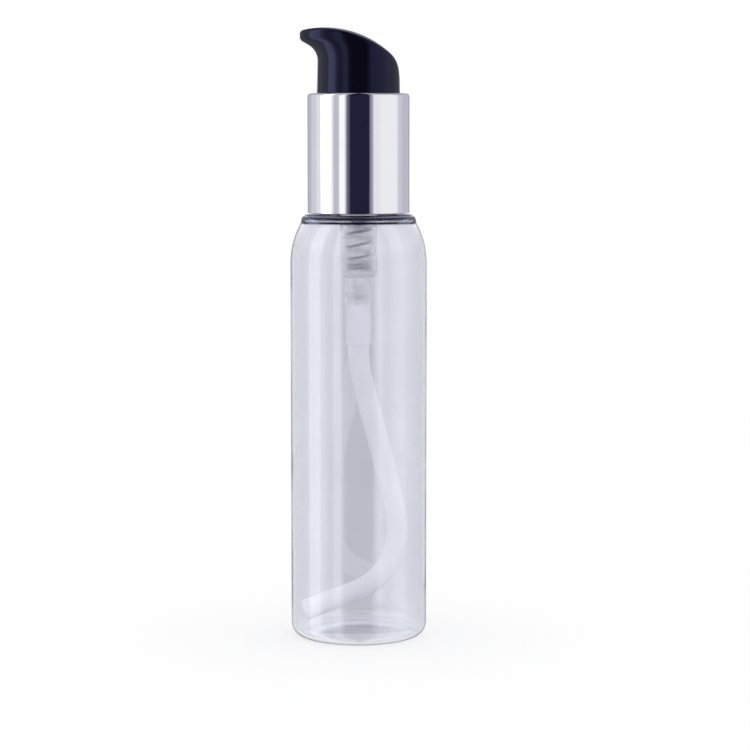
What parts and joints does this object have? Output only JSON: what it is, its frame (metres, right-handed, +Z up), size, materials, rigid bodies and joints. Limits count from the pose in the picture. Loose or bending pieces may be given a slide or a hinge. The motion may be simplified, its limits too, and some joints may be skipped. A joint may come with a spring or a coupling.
{
  "type": "pump oil bottle",
  "caption": "Clear round oil bottle with a bright tall collar and a dark beaked press head on a spring-return dispensing pump with a curved dip tube.",
  "frame": {"origin": "middle of the base, on the surface that the bottle stands on", "axes": "+Z up along the bottle, the beak of the press head points to -X"},
  "size_m": [0.039, 0.039, 0.1746],
  "materials": {
    "clear_body": "gloss",
    "gasket_foam": "matte",
    "closure_plastic": "satin",
    "bright_collar": "polished",
    "clear_housing": "satin",
    "white_plastic": "satin",
    "ball_glass": "polished",
    "spring_steel": "polished",
    "rod_plastic": "satin",
    "dark_gloss": "gloss",
    "milky_tube": "satin"
  },
  "bodies": {
    "bottle": {"bottle": "clear_body"},
    "pump": {"pump_housing": "clear_housing", "neck_gasket": "gasket_foam", "housing_retainer": "white_plastic", "dip_tube": "milky_tube", "return_spring": "spring_steel"},
    "closure": {"screw_closure": "closure_plastic", "collar_shell": "bright_collar"},
    "plunger": {"stem": "white_plastic", "piston_rod": "rod_plastic"},
    "piston": {"piston": "white_plastic"},
    "head": {"press_head": "dark_gloss"},
    "ball": {"inlet_ball": "ball_glass"}
  },
  "joints": [
    {"name": "pump_lift", "type": "slide", "parent": "bottle", "child": "pump", "axis": [0, 0, 1], "range_m": [0, 0.00477]},
    {"name": "closure_turn", "type": "hinge", "parent": "pump", "child": "closure", "pos_m": [0, 0, 0.139], "axis": [0, 0, 1], "range_deg": [0, 540]},
    {"name": "plunger_press", "type": "slide", "parent": "pump", "child": "plunger", "axis": [0, 0, -1], "range_m": [0, 0.007], "stiffness_N_per_m": 700, "springref_m": -0.006, "deforming": ["return_spring"]},
    {"name": "piston_slip", "type": "slide", "parent": "plunger", "child": "piston", "axis": [0, 0, 1], "range_m": [0, 0.00075]},
    {"name": "head_swivel", "type": "hinge", "parent": "plunger", "child": "head", "pos_m": [0, 0, 0.156], "axis": [0, 0, 1], "continuous": true},
    {"name": "ball_lift", "type": "slide", "parent": "pump", "child": "ball", "axis": [0, 0, 1], "range_m": [0, 0.0012]}
  ],
  "couplings": [
    {"joint": "pump_lift", "follows": "closure_turn", "m_per_rad": 0.00050532}
  ]
}
